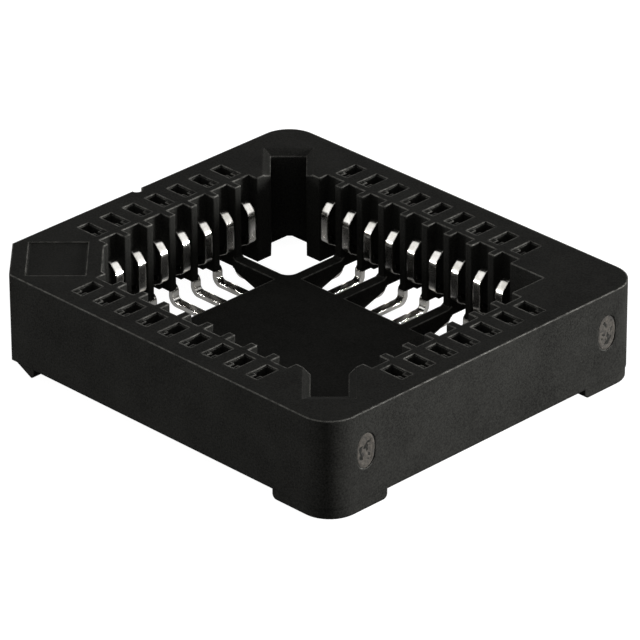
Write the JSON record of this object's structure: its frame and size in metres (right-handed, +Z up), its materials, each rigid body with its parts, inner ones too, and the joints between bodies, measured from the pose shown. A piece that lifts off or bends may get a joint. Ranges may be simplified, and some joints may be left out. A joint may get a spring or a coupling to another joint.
{
  "type": "chip carrier socket",
  "caption": "Low surface-mount socket: a black moulded frame whose well takes a leaded chip between bent spring contacts, with solder tails below and notches for an extraction tool.",
  "frame": {"origin": "centre of the socket's outline, on the plane of the solder tails' undersides", "axes": "+Z up out of the well, +X along the long sides, the orientation corner at -X -Y"},
  "size_m": [0.0204, 0.018, 0.0046],
  "materials": {
    "housing": "black glass-filled moulding, matte",
    "contact": "bright tin plate over a copper alloy strip"
  },
  "bodies": {
    "root": {"housing": "housing", "contact_01": "contact", "contact_02": "contact", "contact_03": "contact", "contact_04": "contact", "contact_05": "contact", "contact_06": "contact", "contact_07": "contact", "contact_08": "contact", "contact_09": "contact", "contact_10": "contact", "contact_11": "contact", "contact_12": "contact", "contact_13": "contact", "contact_14": "contact", "contact_15": "contact", "contact_16": "contact", "contact_17": "contact", "contact_18": "contact", "contact_19": "contact", "contact_20": "contact", "contact_21": "contact", "contact_22": "contact", "contact_23": "contact", "contact_24": "contact", "contact_25": "contact", "contact_26": "contact", "contact_27": "contact", "contact_28": "contact", "contact_29": "contact", "contact_30": "contact", "contact_31": "contact", "contact_32": "contact"}
  },
  "joints": []
}
